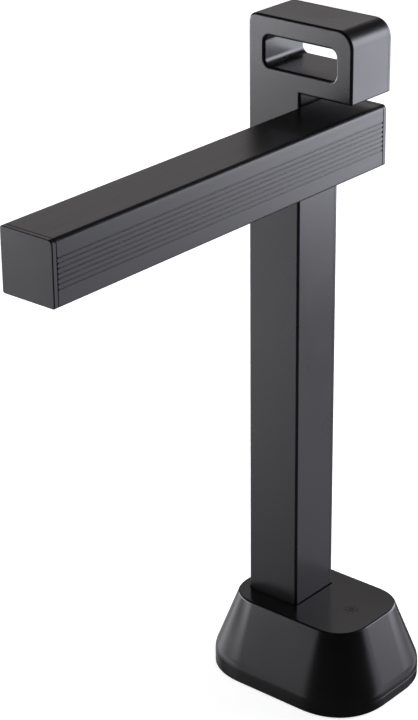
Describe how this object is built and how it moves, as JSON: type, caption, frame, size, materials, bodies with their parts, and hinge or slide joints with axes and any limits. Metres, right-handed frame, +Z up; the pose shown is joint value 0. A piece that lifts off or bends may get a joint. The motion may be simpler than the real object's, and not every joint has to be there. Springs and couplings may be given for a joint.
{
  "type": "document camera",
  "caption": "Desk document camera: weighted flared foot, square column with carrying handle, and a lit camera arm that folds down beside the column.",
  "frame": {"origin": "centre of the foot's underside, on the table", "axes": "+Z up along the column; +X towards the side that carries the arm; -Y to the front, the way the unfolded arm points"},
  "size_m": [0.101, 0.2502, 0.3484],
  "materials": {
    "satin_plastic": "satin",
    "foot_plastic": "satin",
    "anodised": "satin",
    "rubber": "matte",
    "cast_iron": "matte",
    "steel": "satin",
    "dark_screws": "satin",
    "board": "satin",
    "white_board": "satin",
    "chips": "matte",
    "pale_plastic": "satin",
    "cable": "matte",
    "print": "matte",
    "flex": "satin",
    "led": "gloss",
    "diffuser": "satin",
    "window": "polished",
    "lens": "polished"
  },
  "bodies": {
    "stand": {"base_shell": "foot_plastic", "base_cover": "foot_plastic", "rubber_pad": "rubber", "ballast_plate": "cast_iron", "base_screws": "steel", "main_board": "board", "board_parts": "chips", "board_spacers": "pale_plastic", "board_screws": "steel", "usb_socket": "steel", "touch_board": "board", "touch_lead": "cable", "touch_symbol": "print", "column_foot": "steel", "foot_screws": "steel", "column_spine": "steel", "spine_screws": "steel", "column_shell": "satin_plastic", "column_rear_cover": "satin_plastic", "rear_cover_screws": "dark_screws", "column_cable": "cable", "hinge_bush": "pale_plastic", "thrust_washer": "pale_plastic", "friction_washer": "steel", "stop_pins": "steel"},
    "arm": {"hinge_shaft": "steel", "stop_washer": "steel", "disc_springs": "steel", "hinge_nut": "steel", "hinge_screws": "dark_screws", "arm_housing": "anodised", "arm_front_cap": "satin_plastic", "arm_rear_cap": "satin_plastic", "arm_bottom_cover": "satin_plastic", "arm_cover_screws": "dark_screws", "camera_window": "window", "lens_barrel": "chips", "lens_glass": "lens", "lens_holder": "chips", "sensor_board": "board", "image_sensor": "chips", "camera_bracket": "satin_plastic", "camera_screws": "steel", "sensor_flex": "flex", "lamp_board": "white_board", "lamp_leds": "led", "lamp_diffuser": "diffuser", "processor_board": "board", "processor_parts": "chips", "arm_cable": "cable"}
  },
  "joints": [
    {"name": "arm_fold", "type": "hinge", "parent": "stand", "child": "arm", "pos_m": [0, 0, 0.2935], "axis": [1, 0, 0], "range_deg": [0, 90]}
  ]
}
